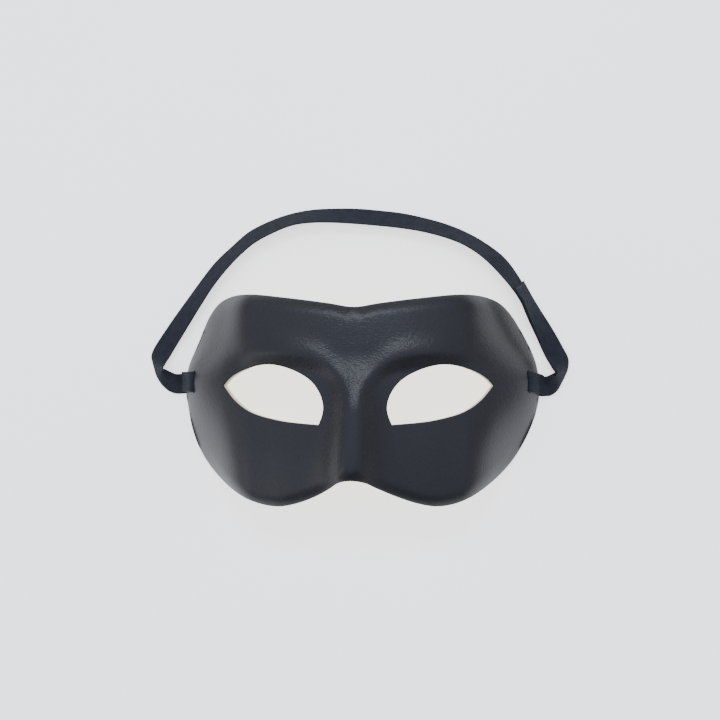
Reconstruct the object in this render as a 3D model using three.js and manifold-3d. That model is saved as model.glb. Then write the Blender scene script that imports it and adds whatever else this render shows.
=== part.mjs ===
// A moulded half mask lying face up: a cream shell, a black leatherette skin over it, and one
// flat black elastic strap looped through a slot at each temple.
// Millimetres. +X is the wearer's left temple, +Y the brow edge, +Z out of the face.
// The temples' rims rest on z = 0.

import * as THREE from 'three';
import { mergeVertices } from 'three/addons/utils/BufferGeometryUtils.js';
import Module from 'manifold-3d';

const wasm = await Module();
wasm.setup();

// Layers, measured inwards from the skin's outer surface
const SKIN_THICKNESS = 0.8;
const LAYER_GAP = 0.3;
const SHELL_THICKNESS = 2.2;
const WALL = SKIN_THICKNESS + LAYER_GAP + SHELL_THICKNESS;
const SKIN_OFF_TABLE = 0.3;

// The face's main bend from temple to temple, part of an ellipse
const BEND_HALF_WIDTH = 94;
const BEND_HEIGHT = 60;
const BEND_SUNK = 18.6;
// The temples turn in above and below the strap slot, so that the rim meets the table
const TEMPLE_FROM = 50;
const TEMPLE_FULL = 86;
const TEMPLE_DROP_ABOVE = 0.051;
const TEMPLE_EASE_ABOVE = 22;
const TEMPLE_DROP_BELOW = 0.0214;
const TEMPLE_EASE_BELOW = 38;
const FOREHEAD_LEAN = 0.0028;
const FOREHEAD_FROM = 20;
const CHEEK_LEAN = 0.003;
const CHEEK_FROM = -15;

// Brow, a low welt close above the eye hole that turns down into the socket
const BROW_HIGH = 1.9;
const BROW_OUT_Y = 25.2;
const BROW_DIP = 16;
const BROW_REACH = 8;
const BROW_MIDDLE_SOFT = 6;
const BROW_SOFT = 6;
const BROW_FADE_FROM = 34;
const BROW_FADE_TO = 62;
const SOCKET_DEEP = 2.2;
const SOCKET_EDGE = 9;
const SOCKET_FADE_FROM = 40;
const SOCKET_FADE_TO = 66;

// Nose, a soft ridge that rises at the bridge and runs on nearly level to its tip
const BRIDGE_RISE = 7.8;
const TIP_RISE = 2;
const NOSE_ROOT_Y = 25;
const NOSE_BRIDGE_Y = -5;
const NOSE_TIP_Y = -38;
const NOSE_TOP_HALF_WIDTH = 9.5;
const NOSE_TIP_HALF_WIDTH = 10.5;
const NOSE_TOP_SQUARENESS = 2.4;
const NOSE_TIP_SQUARENESS = 2.7;
const NOSE_LEAN = -1.5;
const NOSE_LEAN_FROM_Y = -5;
const NOSE_LEAN_Y = -36;
const NOSE_LEAN_REACH = 14;

// The face sways a little to one side, below the eyes only out on the cheeks
const SWAY_BELOW = -1.6;
const SWAY_BELOW_FROM_Y = 2;
const SWAY_BELOW_Y = -28;
const SWAY_BELOW_FROM_X = 35;
const SWAY_BELOW_X = 80;
const SWAY_ABOVE = -1;
const SWAY_ABOVE_FROM_Y = 26;
const SWAY_ABOVE_Y = 44;

// The rim curls in over its last few millimetres
const ROLL_DEPTH = 2.4;
const ROLL_WIDTH = 6.5;
const ROLL_FADE_FROM = 60;
const ROLL_FADE_TO = 80;

// Strap and its slots
const SLOT_X = 82.4;
const SLOT_Y = 9.8;
const SLOT_LONG = 11;
const SLOT_WIDE = 2.6;
const SLOT_CUTTER_DEEP = 12;
const STRAP_WIDTH = 10;
const STRAP_THICK = 0.9;
const STRAP_EDGE_ROUND = 0.25;
const PLY_PITCH = 1.2;
// The temple's edge is hollowed a little where the strap passes under it
const RELIEF_HIGH = 2.2;
const RELIEF_FLAT = 5.5;
const RELIEF_END = 14;

// Mesh fineness: steps round each eye and from the eye to the rim
const STEPS_UPPER = 21;
const STEPS_NOSE = 15;
const STEPS_LOWER = 22;
const STEPS_OUT = 8;
const STEP_BUNCHING = 0.05;
const RELAX_PASSES = 12;
// Lines near the eye hole keep its corners, those further out are evened
const RELAX_SHARE = 0.35;
const RELAX_FULL = 0.6;
const FINE_PIECES = 400;
const RIM_PIECES = 440;
const SLOPE_STEP = 0.25;
const WELD = 0.001;
const SOLID_WELD = 0.0001;
const BEND_LEAST = 0.0001;

// Half of the rim seen from the front, from the middle of the brow round the temple to the
// middle of the nose notch
const RIM_HALF = [
  [0, 45.3], [12, 47.1], [32, 49.8], [50, 51.7], [61.1, 51.1], [69, 48.4], [75.5, 42.1],
  [81.9, 30], [86.3, 19.3], [88, 7], [87.3, -3], [84.3, -14.5], [78.4, -26.6], [69.8, -35.6],
  [57.5, -43.4], [46, -47.8], [37.1, -48.7], [28, -46.8], [18.4, -43], [11, -38.9],
  [5.8, -35.6], [0, -34.5],
];
const TEMPLE_POINT = 9;

// Eye hole: upper lid from the outer corner over the top to the inner lower corner, then the
// lower lid back
const UPPER_LID = [
  [64.3, 8.3], [60.4, 12.2], [53, 16], [41, 18.3], [29, 15.6], [20.6, 10.6], [16, 4],
  [14.8, -1.5], [15.4, -5.2], [17, -9.4],
];
const LOWER_LID = [[17, -9.4], [26, -8.8], [36, -7.7], [49.8, -4.1], [58.2, 1.3], [64.3, 8.3]];
// Share of the upper lid that faces the brow edge, the rest faces the nose
const LID_TO_BROW = 0.52;

// Strap route, left to right over the arch. Each station is x, y, z of the strap's middle, then
// the way its width points in plan and how far that width is tipped up, in degrees.
const LEFT_RUN = [
  [-88.2, 8.9, 0.9, 90, 0], [-91, 8.6, 0.98, 90, 2], [-93.3, 8.7, 1.7, 82, 10],
  [-96.2, 9.9, 2.2, 78, 16], [-98.9, 12.2, 3.5, 66, 34], [-100.2, 14.1, 4.5, 35, 50],
  [-101.3, 17.9, 4.1, -12, 44], [-101.7, 20.2, 2.9, -26, 26], [-99.7, 24.7, 2.1, -28, 15],
  [-96, 30.6, 2.3, -28, 17],
];
const ARCH = [
  [-89.8, 40, 2.8, -31, 24], [-83.5, 49.2, 3.4, -34, 32], [-77.3, 58.1, 3.8, -37, 37],
  [-70.7, 66.6, 3.8, -42, 38], [-62.9, 74.4, 4.1, -48, 43], [-54.8, 81.3, 4.1, -57, 42],
  [-45.1, 86.4, 4.2, -66, 44], [-34.9, 90.1, 4.3, -75, 47], [-24.5, 91.8, 4.1, -84, 43],
  [-13.7, 92.1, 3.9, -90, 39], [-2.8, 91.8, 3.6, -94, 34], [8.1, 90.9, 3.5, -97, 34],
  [18.8, 89.7, 3.6, -100, 35], [29.5, 87.7, 3.9, -105, 40], [40.1, 84.9, 4.1, -110, 43],
  [50.4, 80.9, 4.3, -117, 46], [59.9, 75.3, 4.2, -126, 44], [68.2, 68.3, 3.9, -134, 38],
];
// From the sewn seam down to the right temple the strap lies double
const RIGHT_RUN = [
  [76.7, 57.4, 4.4, -142, 49], [80.6, 50.8, 4.7, -147, 54], [84.8, 42.9, 4.2, -148, 44],
  [90.2, 33.4, 3.1, -148, 28], [95.4, 24, 1.5, -149, 7], [97.8, 19.2, 2.5, -156, 19],
  [98.2, 15.4, 4.5, -166, 50], [97.4, 13.8, 4.9, -188, 59], [96.4, 12, 4.8, -223, 57],
  [94.7, 9.3, 3.6, -246, 32], [92, 7.6, 2, -258, 14], [88.2, 7.4, 1, -268, 2],
];

// Strap's loop round a temple's edge strip: outside the rim as x and z, in through the slot as x
// and depth below the skin's outer surface, and back out under the rim as x and z. The slant is
// how far it slides along the rim for each millimetre outwards.
const LOOP_HEADING_LEFT = 90;
const LOOP_HEADING_RIGHT = -270;
const LOOP_SLANT_LEFT = 0.02;
const LOOP_SLANT_RIGHT = 0.24;
const LOOP_OVER_LEFT = [[89.9, 2.4], [89.1, 2.9]];
const LOOP_OVER_RIGHT = [[90.7, 3.1], [89.5, 3.4]];
const LOOP_THROUGH = [
  [86.8, -1], [85, -1], [83.7, -1], [82.9, -0.85], [82.45, -0.2], [82.45, 1.65],
  [82.45, 3.6], [82.7, 4.8], [83.5, 5.25],
];
const LOOP_UNDER = [[82.7, 1.35], [84.4, 0.92]];

// Plain stand-in looks, the finished ones are made elsewhere
const SHELL_COLOR = 0xe9dfbe;
const SHELL_ROUGHNESS = 0.6;
const SKIN_COLOR = 0x24272c;
const SKIN_ROUGHNESS = 0.45;
const STRAP_COLOR = 0x212428;
const STRAP_ROUGHNESS = 0.8;

function smooth(from, to, value) {
  const t = Math.min(1, Math.max(0, (value - from) / (to - from)));
  return t * t * (3 - 2 * t);
}

function mix(from, to, share) {
  return from + (to - from) * share;
}

function bendHeight(x, y) {
  const across = Math.abs(x);
  const inside = Math.max(BEND_LEAST, 1 - (across / BEND_HALF_WIDTH) ** 2);
  const above = y - SLOT_Y;
  const drop = above > 0 ? TEMPLE_DROP_ABOVE : TEMPLE_DROP_BELOW;
  const ease = above > 0 ? TEMPLE_EASE_ABOVE : TEMPLE_EASE_BELOW;
  const turnIn = (drop * above * above) / (1 + (above / ease) ** 2);
  return BEND_HEIGHT * Math.sqrt(inside) - BEND_SUNK
    - smooth(TEMPLE_FROM, TEMPLE_FULL, across) * turnIn
    - FOREHEAD_LEAN * Math.max(0, y - FOREHEAD_FROM) ** 2
    - CHEEK_LEAN * Math.max(0, CHEEK_FROM - y) ** 2;
}

// Beside the nose: forehead, brow welt and the socket below it
function browHeight(x, y) {
  const across = Math.abs(x);
  const outwards = Math.hypot(x, BROW_MIDDLE_SOFT) - BROW_MIDDLE_SOFT;
  const above = y - (BROW_OUT_Y - BROW_DIP * Math.exp(-outwards / BROW_REACH));
  const high = BROW_HIGH * (1 - smooth(BROW_FADE_FROM, BROW_FADE_TO, across));
  if (above > 0) return high * Math.exp(-((above / BROW_SOFT) ** 2));
  const deep = SOCKET_DEEP * (1 - smooth(SOCKET_FADE_FROM, SOCKET_FADE_TO, across));
  return high - (high + deep) * smooth(0, SOCKET_EDGE, -above);
}

// Along the nose: up at the bridge, then nearly level to the tip
function ridgeHeight(y) {
  const toTip = Math.min(1, Math.max(0, (NOSE_BRIDGE_Y - y) / (NOSE_BRIDGE_Y - NOSE_TIP_Y)));
  return BRIDGE_RISE * smooth(NOSE_ROOT_Y, NOSE_BRIDGE_Y, y) + TIP_RISE * toTip;
}

// How much of a point belongs to the nose, 1 along its ridge and 0 out on the cheeks
function noseShare(x, y) {
  const down = smooth(NOSE_ROOT_Y, NOSE_TIP_Y, y);
  const halfWidth = mix(NOSE_TOP_HALF_WIDTH, NOSE_TIP_HALF_WIDTH, down);
  const squareness = mix(NOSE_TOP_SQUARENESS, NOSE_TIP_SQUARENESS, down);
  return 1 / (1 + (Math.abs(x) / halfWidth) ** squareness);
}

// Closed rim as a curve, and as short straight pieces for measuring distances to it
const rimPoints = [
  ...RIM_HALF,
  ...RIM_HALF.slice(1, -1).reverse().map(([x, y]) => [-x, y]),
].map(([x, y]) => new THREE.Vector3(x, y, 0));
const rimCurve = new THREE.CatmullRomCurve3(rimPoints, true, 'centripetal');
const rimPolyline = [];
for (let i = 0; i <= RIM_PIECES; i += 1) {
  rimPolyline.push(rimCurve.getPoint(i / RIM_PIECES));
}

// Distance from the rim, positive inside it
function rimDistance(x, y) {
  let best = Infinity;
  let side = 1;
  for (let i = 0; i < RIM_PIECES; i += 1) {
    const a = rimPolyline[i];
    const b = rimPolyline[i + 1];
    const dx = b.x - a.x;
    const dy = b.y - a.y;
    const t = Math.min(1, Math.max(0, ((x - a.x) * dx + (y - a.y) * dy) / (dx * dx + dy * dy)));
    const offX = x - a.x - t * dx;
    const offY = y - a.y - t * dy;
    const squared = offX * offX + offY * offY;
    if (squared < best) {
      best = squared;
      side = dx * offY - dy * offX > 0 ? -1 : 1;
    }
  }
  return side * Math.sqrt(best);
}

function rollDrop(x, y) {
  const inner = 1 - Math.min(ROLL_WIDTH, rimDistance(x, y)) / ROLL_WIDTH;
  return ROLL_DEPTH * inner * inner * (1 - smooth(ROLL_FADE_FROM, ROLL_FADE_TO, Math.abs(x)));
}

function faceHeight(x, y) {
  const relief = mix(browHeight(x, y), ridgeHeight(y), noseShare(x, y));
  return bendHeight(x, y) + relief - rollDrop(x, y);
}

function faceNormal(x, y) {
  const h = SLOPE_STEP;
  const slopeX = (faceHeight(x + h, y) - faceHeight(x - h, y)) / (2 * h);
  const slopeY = (faceHeight(x, y + h) - faceHeight(x, y - h)) / (2 * h);
  return new THREE.Vector3(-slopeX, -slopeY, 1).normalize();
}

// Lowest the temple rim may reach: the table, or the shallow relief where the strap passes under
function floorAt(y) {
  return RELIEF_HIGH * (1 - smooth(RELIEF_FLAT, RELIEF_END, Math.abs(y - SLOT_Y)));
}

// A point of the face at the given depth below the skin's outer surface
function facePoint(x, y, depth, lift = 0) {
  const point = new THREE.Vector3(x, y, faceHeight(x, y));
  point.addScaledVector(faceNormal(x, y), -depth);
  if (Math.abs(x) > TEMPLE_FROM) point.z = Math.max(point.z, floorAt(y) + lift);
  const onNose = Math.exp(-((x / NOSE_LEAN_REACH) ** 2));
  const onCheek = smooth(SWAY_BELOW_FROM_X, SWAY_BELOW_X, Math.abs(x));
  point.x += NOSE_LEAN * onNose * smooth(NOSE_LEAN_FROM_Y, NOSE_LEAN_Y, y)
    + SWAY_BELOW * onCheek * smooth(SWAY_BELOW_FROM_Y, SWAY_BELOW_Y, y)
    + SWAY_ABOVE * smooth(SWAY_ABOVE_FROM_Y, SWAY_ABOVE_Y, y);
  return point;
}

function sampleCurve(curve, count) {
  return curve.getSpacedPoints(count).map((p) => [p.x, p.y]);
}

function openCurve(points) {
  return new THREE.CatmullRomCurve3(points.map(([x, y]) => new THREE.Vector3(x, y, 0)), false);
}

// Evenly spaced points along a stretch of the rim between two of its listed points
function rimStretch(from, to, count) {
  const fine = [];
  for (let i = 0; i <= FINE_PIECES; i += 1) {
    fine.push(rimCurve.getPoint(mix(from, to, i / FINE_PIECES) / rimPoints.length));
  }
  const lengths = [0];
  for (let i = 1; i <= FINE_PIECES; i += 1) {
    lengths.push(lengths[i - 1] + fine[i].distanceTo(fine[i - 1]));
  }
  const stretch = [];
  let k = 0;
  for (let i = 0; i <= count; i += 1) {
    const want = (lengths[FINE_PIECES] * i) / count;
    while (k < FINE_PIECES - 1 && lengths[k + 1] < want) k += 1;
    const t = (want - lengths[k]) / (lengths[k + 1] - lengths[k]);
    stretch.push([mix(fine[k].x, fine[k + 1].x, t), mix(fine[k].y, fine[k + 1].y, t)]);
  }
  return stretch;
}

// Grid of one half of the face in plan: rings from the eye hole out to the rim or the midline
function halfGrid() {
  const upperFine = sampleCurve(openCurve(UPPER_LID), FINE_PIECES);
  const lowerFine = sampleCurve(openCurve(LOWER_LID), FINE_PIECES);
  const split = Math.round(FINE_PIECES * LID_TO_BROW);
  const pick = (from, to, count, list) => {
    const picked = [];
    for (let i = 0; i < count; i += 1) picked.push(list[Math.round(mix(from, to, i / count))]);
    return picked;
  };
  const eye = [
    ...pick(0, split, STEPS_UPPER, upperFine),
    ...pick(split, FINE_PIECES, STEPS_NOSE, upperFine),
    ...pick(0, FINE_PIECES, STEPS_LOWER, lowerFine),
  ];
  const last = RIM_HALF.length - 1;
  const browSide = rimStretch(TEMPLE_POINT, 0, STEPS_UPPER).slice(0, -1);
  const midline = [];
  for (let i = 0; i < STEPS_NOSE; i += 1) {
    midline.push([0, mix(RIM_HALF[0][1], RIM_HALF[last][1], i / STEPS_NOSE)]);
  }
  const cheekSide = rimStretch(last, TEMPLE_POINT, STEPS_LOWER).slice(0, -1);
  const outer = [...browSide, ...midline, ...cheekSide];
  const around = outer.length;
  const grid = eye.map((inner, s) => {
    const line = [];
    for (let r = 0; r <= STEPS_OUT; r += 1) {
      const even = r / STEPS_OUT;
      const t = even + STEP_BUNCHING * Math.sin(2 * Math.PI * even);
      line.push([mix(inner[0], outer[s][0], t), mix(inner[1], outer[s][1], t)]);
    }
    return line;
  });
  for (let pass = 0; pass < RELAX_PASSES; pass += 1) {
    const before = grid.map((line) => line.map((p) => [...p]));
    for (let s = 0; s < around; s += 1) {
      const next = before[(s + 1) % around];
      const previous = before[(s + around - 1) % around];
      for (let r = 1; r < STEPS_OUT; r += 1) {
        const evened = RELAX_SHARE * smooth(0, RELAX_FULL, r / STEPS_OUT) ** 2;
        for (let axis = 0; axis < 2; axis += 1) {
          const alongRing = (next[r][axis] + previous[r][axis]) / 2;
          grid[s][r][axis] = mix(before[s][r][axis], alongRing, evened);
        }
      }
    }
  }
  return { grid, around };
}

const { grid: plan, around: stepsAround } = halfGrid();

function isMidline(s) {
  return s >= STEPS_UPPER && s <= STEPS_UPPER + STEPS_NOSE;
}

// Closed body between two depths below the outer surface, its rim held off the table by lift
function faceLayer(depthOut, depthIn, lift) {
  const positions = [];
  const indices = [];
  for (const mirror of [1, -1]) {
    for (const depth of [depthOut, depthIn]) {
      for (const line of plan) {
        for (const [x, y] of line) {
          const p = facePoint(mirror * x, y, depth, lift);
          positions.push(p.x, p.y, p.z);
        }
      }
    }
  }
  const perLine = STEPS_OUT + 1;
  const perSheet = stepsAround * perLine;
  for (const half of [0, 1]) {
    const outerSheet = half * 2 * perSheet;
    const innerSheet = outerSheet + perSheet;
    const quad = (a, b, c, d) => {
      if (half === 1) indices.push(a, c, b, a, d, c);
      else indices.push(a, b, c, a, c, d);
    };
    for (let s = 0; s < stepsAround; s += 1) {
      const out = outerSheet + s * perLine;
      const outNext = outerSheet + ((s + 1) % stepsAround) * perLine;
      const inn = innerSheet + s * perLine;
      const innNext = innerSheet + ((s + 1) % stepsAround) * perLine;
      for (let r = 0; r < STEPS_OUT; r += 1) {
        quad(out + r, out + r + 1, outNext + r + 1, outNext + r);
        quad(inn + r, innNext + r, innNext + r + 1, inn + r + 1);
      }
      quad(inn, out, outNext, innNext);
      if (!(isMidline(s) && isMidline(s + 1))) {
        quad(out + STEPS_OUT, inn + STEPS_OUT, innNext + STEPS_OUT, outNext + STEPS_OUT);
      }
    }
  }
  return closedGeometry(positions, indices);
}

function signedVolume(geometry) {
  const { array } = geometry.attributes.position;
  const index = geometry.index.array;
  const a = new THREE.Vector3();
  const b = new THREE.Vector3();
  const c = new THREE.Vector3();
  let sum = 0;
  for (let i = 0; i < index.length; i += 3) {
    a.fromArray(array, index[i] * 3);
    b.fromArray(array, index[i + 1] * 3);
    c.fromArray(array, index[i + 2] * 3);
    sum += a.dot(b.cross(c));
  }
  return sum / 6;
}

function closedGeometry(positions, indices) {
  let geometry = new THREE.BufferGeometry();
  geometry.setAttribute('position', new THREE.Float32BufferAttribute(positions, 3));
  geometry.setIndex(indices);
  geometry = mergeVertices(geometry, WELD);
  if (signedVolume(geometry) < 0) {
    const index = geometry.index.array;
    for (let i = 0; i < index.length; i += 3) [index[i], index[i + 1]] = [index[i + 1], index[i]];
  }
  return geometry;
}

function toSolid(geometry) {
  const plain = geometry.clone();
  plain.deleteAttribute('normal');
  plain.deleteAttribute('uv');
  const merged = mergeVertices(plain, SOLID_WELD);
  return new wasm.Manifold(new wasm.Mesh({
    numProp: 3,
    vertProperties: new Float32Array(merged.attributes.position.array),
    triVerts: new Uint32Array(merged.index.array),
  }));
}

function fromSolid(solid) {
  const mesh = solid.getMesh();
  const geometry = new THREE.BufferGeometry();
  geometry.setAttribute('position', new THREE.Float32BufferAttribute(mesh.vertProperties, 3));
  geometry.setIndex([...mesh.triVerts]);
  return geometry;
}

// Box through the wall at a temple, square to the face there
function slotCutter(side) {
  const x = side * SLOT_X;
  const out = faceNormal(x, SLOT_Y);
  const long = new THREE.Vector3(0, 1, 0).addScaledVector(out, -out.y).normalize();
  const wide = new THREE.Vector3().crossVectors(long, out);
  const box = new THREE.BoxGeometry(SLOT_WIDE, SLOT_LONG, SLOT_CUTTER_DEEP);
  box.applyMatrix4(new THREE.Matrix4().makeBasis(wide, long, out));
  const centre = facePoint(x, SLOT_Y, WALL / 2);
  box.translate(centre.x, centre.y, centre.z);
  return toSolid(box);
}

function withSlots(geometry) {
  return fromSolid(toSolid(geometry).subtract(slotCutter(1)).subtract(slotCutter(-1)));
}

// Stations of the strap round one temple's edge strip: over the outside, in through the slot,
// down the inside and out under the rim
function edgeLoop(side) {
  const heading = side < 0 ? LOOP_HEADING_LEFT : LOOP_HEADING_RIGHT;
  const slant = side < 0 ? LOOP_SLANT_LEFT : LOOP_SLANT_RIGHT;
  const over = side < 0 ? LOOP_OVER_LEFT : LOOP_OVER_RIGHT;
  const slid = (x) => SLOT_Y - slant * (x - SLOT_X);
  const outside = ([x, z]) => [side * x, slid(x), z, heading, 0];
  const through = ([x, depth]) => {
    const p = new THREE.Vector3(side * x, SLOT_Y, faceHeight(side * x, SLOT_Y));
    p.addScaledVector(faceNormal(side * x, SLOT_Y), -depth);
    return [p.x, slid(x), p.z, heading, 0];
  };
  return [...over.map(outside), ...LOOP_THROUGH.map(through), ...LOOP_UNDER.map(outside)];
}

function ring(station) {
  const [x, y, z, heading, tip] = station;
  const h = THREE.MathUtils.degToRad(heading);
  const t = THREE.MathUtils.degToRad(tip);
  return {
    middle: new THREE.Vector3(x, y, z),
    across: new THREE.Vector3(Math.cos(h) * Math.cos(t), Math.sin(h) * Math.cos(t), Math.sin(t)),
  };
}

// Each ring's face direction, square to the strap's width and its run
function addFaces(rings) {
  rings.forEach((one, i) => {
    const before = rings[Math.max(0, i - 1)].middle;
    const after = rings[Math.min(rings.length - 1, i + 1)].middle;
    const run = new THREE.Vector3().subVectors(after, before);
    one.face = new THREE.Vector3().crossVectors(one.across, run).normalize();
  });
  return rings;
}

function strapRings() {
  const single = [...edgeLoop(-1), ...LEFT_RUN, ...ARCH, ...RIGHT_RUN].map(ring);
  addFaces(single);
  const doubled = single.slice(single.length - RIGHT_RUN.length, -1);
  const back = doubled.reverse().map((one) => ({
    middle: one.middle.clone().addScaledVector(one.face, PLY_PITCH),
    across: one.across,
  }));
  const rightLoop = edgeLoop(1).reverse().slice(0, -1).map(ring);
  return addFaces([...single, ...rightLoop, ...back]);
}

function strapGeometry() {
  const w = STRAP_WIDTH / 2;
  const t = STRAP_THICK / 2;
  const e = STRAP_EDGE_ROUND;
  const section = [
    [w, t - e], [w - e, t], [e - w, t], [-w, t - e], [-w, e - t], [e - w, -t], [w - e, -t], [w, e - t],
  ];
  const rings = strapRings();
  const positions = [];
  const indices = [];
  for (const { middle, across, face } of rings) {
    for (const [u, v] of section) {
      const p = middle.clone().addScaledVector(across, u).addScaledVector(face, v);
      positions.push(p.x, p.y, p.z);
    }
  }
  const n = section.length;
  for (let i = 0; i < rings.length - 1; i += 1) {
    for (let k = 0; k < n; k += 1) {
      const a = i * n + k;
      const b = i * n + ((k + 1) % n);
      indices.push(a, b, b + n, a, b + n, a + n);
    }
  }
  const lastRing = (rings.length - 1) * n;
  for (let k = 1; k < n - 1; k += 1) {
    indices.push(0, k + 1, k);
    indices.push(lastRing, lastRing + k, lastRing + k + 1);
  }
  return closedGeometry(positions, indices);
}

function piece(name, geometry, color, roughness) {
  geometry.computeVertexNormals();
  const mesh = new THREE.Mesh(
    geometry,
    new THREE.MeshStandardMaterial({ color, roughness, metalness: 0 }),
  );
  mesh.name = name;
  return mesh;
}

const shellLayer = faceLayer(SKIN_THICKNESS + LAYER_GAP, WALL, 0);
const skinLayer = faceLayer(0, SKIN_THICKNESS, SKIN_OFF_TABLE);
const shell = piece('shell', withSlots(shellLayer), SHELL_COLOR, SHELL_ROUGHNESS);
const skin = piece('leather_cover', withSlots(skinLayer), SKIN_COLOR, SKIN_ROUGHNESS);
const strap = piece('strap', strapGeometry(), STRAP_COLOR, STRAP_ROUGHNESS);

const mask = new THREE.Group();
mask.add(shell, skin, strap);

// The origin is under the middle of the mask itself
const faceBox = new THREE.Box3().setFromObject(shell).union(new THREE.Box3().setFromObject(skin));
mask.position.y = -(faceBox.min.y + faceBox.max.y) / 2;
mask.position.x = -(faceBox.min.x + faceBox.max.x) / 2;

export default mask;
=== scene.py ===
import math

import bpy
import numpy as np
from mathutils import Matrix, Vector


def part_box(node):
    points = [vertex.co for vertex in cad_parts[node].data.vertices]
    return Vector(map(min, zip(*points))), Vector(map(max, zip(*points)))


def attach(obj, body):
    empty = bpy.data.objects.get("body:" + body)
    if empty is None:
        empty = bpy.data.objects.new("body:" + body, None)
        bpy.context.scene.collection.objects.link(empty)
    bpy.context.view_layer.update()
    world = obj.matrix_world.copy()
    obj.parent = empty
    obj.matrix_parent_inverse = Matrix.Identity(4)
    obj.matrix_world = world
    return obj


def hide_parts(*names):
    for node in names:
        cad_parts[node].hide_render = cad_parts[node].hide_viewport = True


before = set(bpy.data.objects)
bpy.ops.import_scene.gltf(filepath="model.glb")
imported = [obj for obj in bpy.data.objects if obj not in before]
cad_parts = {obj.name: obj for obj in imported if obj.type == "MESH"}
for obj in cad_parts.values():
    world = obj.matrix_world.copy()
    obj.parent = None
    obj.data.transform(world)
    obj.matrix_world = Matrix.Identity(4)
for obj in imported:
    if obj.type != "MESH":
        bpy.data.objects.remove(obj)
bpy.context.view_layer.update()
MM = 0.001

# Layers, measured inwards from the skin's outer surface
SKIN_THICKNESS = 0.8
LAYER_GAP = 0.3
SHELL_THICKNESS = 2.2
WALL = SKIN_THICKNESS + LAYER_GAP + SHELL_THICKNESS
SKIN_OFF_TABLE = 0.3
SKIN_EDGE_ROUND = 0.3
SHELL_EDGE_ROUND = 0.6

# The face's main bend from temple to temple, part of an ellipse, which is held above a least value
# under its root. The temples turn in, and forehead and cheeks lean back
BEND_HALF_WIDTH = 94
BEND_HEIGHT = 60
BEND_SUNK = 18.6
BEND_LEAST = 1e-4
TEMPLE_FROM = 50
TEMPLE_FULL = 86
TEMPLE_DROP_ABOVE = 0.051
TEMPLE_EASE_ABOVE = 22
TEMPLE_DROP_BELOW = 0.0214
TEMPLE_EASE_BELOW = 38
FOREHEAD_LEAN = 0.0028
FOREHEAD_FROM = 20
CHEEK_LEAN = 0.003
CHEEK_FROM = -15

# Brow, a low welt close above the eye hole that turns down into the socket
BROW_HIGH = 1.9
BROW_OUT_Y = 25.2
BROW_DIP = 16
BROW_REACH = 8
BROW_MIDDLE_SOFT = 6
BROW_SOFT = 6
BROW_FADE_FROM = 34
BROW_FADE_TO = 62
SOCKET_DEEP = 2.2
SOCKET_EDGE = 9
SOCKET_FADE_FROM = 40
SOCKET_FADE_TO = 66

# Nose, a soft ridge that rises at the bridge and runs on nearly level to its tip
BRIDGE_RISE = 7.8
TIP_RISE = 2
NOSE_ROOT_Y = 25
NOSE_BRIDGE_Y = -5
NOSE_TIP_Y = -38
NOSE_TOP_HALF_WIDTH = 9.5
NOSE_TIP_HALF_WIDTH = 10.5
NOSE_TOP_SQUARENESS = 2.4
NOSE_TIP_SQUARENESS = 2.7
NOSE_LEAN = -1.5
NOSE_LEAN_FROM_Y = -5
NOSE_LEAN_Y = -36
NOSE_LEAN_REACH = 14

# The face sways a little to one side, below the eyes only out on the cheeks
SWAY_BELOW = -1.6
SWAY_BELOW_FROM_Y = 2
SWAY_BELOW_Y = -28
SWAY_BELOW_FROM_X = 35
SWAY_BELOW_X = 80
SWAY_ABOVE = -1
SWAY_ABOVE_FROM_Y = 26
SWAY_ABOVE_Y = 44

# The rim curls in over its last few millimetres
ROLL_DEPTH = 2.4
ROLL_WIDTH = 6.5
ROLL_FADE_FROM = 60
ROLL_FADE_TO = 80

# Strap and its slots, and the relief that lifts the temple's rim off the table over the strap
SLOT_X = 82.4
SLOT_Y = 9.8
SLOT_LONG = 11
SLOT_WIDE = 2.6
SLOT_CUTTER_DEEP = 12
STRAP_WIDTH = 10
STRAP_THICK = 0.9
PLY_PITCH = 1.2
STRAP_RIBS = 9
RIB_HALF_DEEP = 0.05
RELIEF_HIGH = 2.2
RELIEF_FLAT = 5.5
RELIEF_END = 14

# Fineness of the dressed surfaces
STEPS_UPPER = 84
STEPS_NOSE = 60
STEPS_LOWER = 88
STEPS_OUT = 36
STEPS_ROUND = 4
RELAX_PASSES = 160
RELAX_SHARE = 0.35
RELAX_FULL = 0.6
RIM_PIECES = 440
OUTLINE_STEPS = 1200
DISTANCES_AT_ONCE = 4096
SLOPE_STEP = 0.25
SHARP_ANGLE = 50
SLOT_END_STEPS = 8
STRAP_STEP = 0.7
STEPS_PER_RIB = 6
SELVEDGE_STEPS = 8
STITCH_STEPS = 6
STITCH_SIDES = 8

# Outlines in plan: half the rim from brow to below the nose, and the eye hole's two lids
RIM_HALF = [
    (0, 45.3), (12, 47.1), (32, 49.8), (50, 51.7), (61.1, 51.1), (69, 48.4), (75.5, 42.1),
    (81.9, 30), (86.3, 19.3), (88, 7), (87.3, -3), (84.3, -14.5), (78.4, -26.6), (69.8, -35.6),
    (57.5, -43.4), (46, -47.8), (37.1, -48.7), (28, -46.8), (18.4, -43), (11, -38.9),
    (5.8, -35.6), (0, -34.5),
]
TEMPLE_POINT = 9
UPPER_LID = [
    (64.3, 8.3), (60.4, 12.2), (53, 16), (41, 18.3), (29, 15.6), (20.6, 10.6), (16, 4),
    (14.8, -1.5), (15.4, -5.2), (17, -9.4),
]
LOWER_LID = [(17, -9.4), (26, -8.8), (36, -7.7), (49.8, -4.1), (58.2, 1.3), (64.3, 8.3)]
LID_TO_BROW = 0.52

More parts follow.
